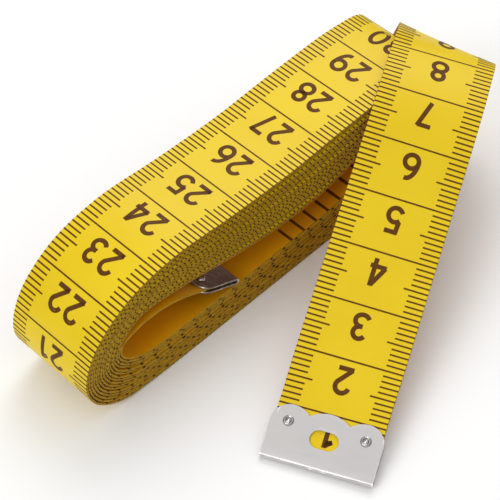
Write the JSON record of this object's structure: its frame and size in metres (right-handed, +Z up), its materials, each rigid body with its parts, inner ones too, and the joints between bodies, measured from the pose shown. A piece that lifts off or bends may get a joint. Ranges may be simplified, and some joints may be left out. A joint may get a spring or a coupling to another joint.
{
  "type": "soft tape measure",
  "caption": "Soft tailor's tape: a long yellow printed band wound flat, its free end lying in front, with a folded scalloped metal ferrule riveted on each end.",
  "frame": {"origin": "middle of the assembly's underside, on the table", "axes": "+X along the roll's long side, from its rounded left end to its nose; +Y across the wound band, away from the free end; +Z up from the table"},
  "size_m": [0.0982, 0.0622, 0.0292],
  "materials": {
    "band": "smooth satin vinyl with a brown printed scale",
    "ferrule_steel": "satin nickel plate",
    "rivet_steel": "satin nickel plate"
  },
  "bodies": {
    "roll": {"wound_band": "band"},
    "strand_upper": {"band_strand_upper": "band"},
    "strand_middle": {"band_strand_middle": "band"},
    "outer_tip": {"band_outer_end": "band", "outer_ferrule": "ferrule_steel", "outer_rivet_left": "rivet_steel", "outer_rivet_right": "rivet_steel"},
    "inner_tail": {"band_inner_end": "band", "inner_ferrule": "ferrule_steel", "inner_rivet_left": "rivet_steel", "inner_rivet_right": "rivet_steel"}
  },
  "joints": [
    {"name": "strand_lift", "type": "hinge", "parent": "roll", "child": "strand_upper", "pos_m": [0.04193, 0.01314, 0.02555], "axis": [-0.4581, 0.8562, 0.239], "range_deg": [0, 60], "stiffness_Nm_per_rad": 0.005},
    {"name": "strand_bend", "type": "hinge", "parent": "strand_upper", "child": "strand_middle", "pos_m": [0.01678, -0.00041, 0.02158], "axis": [-0.4898, 0.8497, 0.1949], "range_deg": [0, 45], "stiffness_Nm_per_rad": 0.005},
    {"name": "tip_flex", "type": "hinge", "parent": "strand_middle", "child": "outer_tip", "pos_m": [-0.00815, -0.01198, 0.0096], "axis": [-0.4601, 0.8822, 0.1], "range_deg": [0, 50], "stiffness_Nm_per_rad": 0.005},
    {"name": "inner_flex", "type": "hinge", "parent": "roll", "child": "inner_tail", "pos_m": [-0.04087, 0.02115, 0.01377], "axis": [0, -1, 0], "range_deg": [0, 4], "stiffness_Nm_per_rad": 0.005}
  ]
}
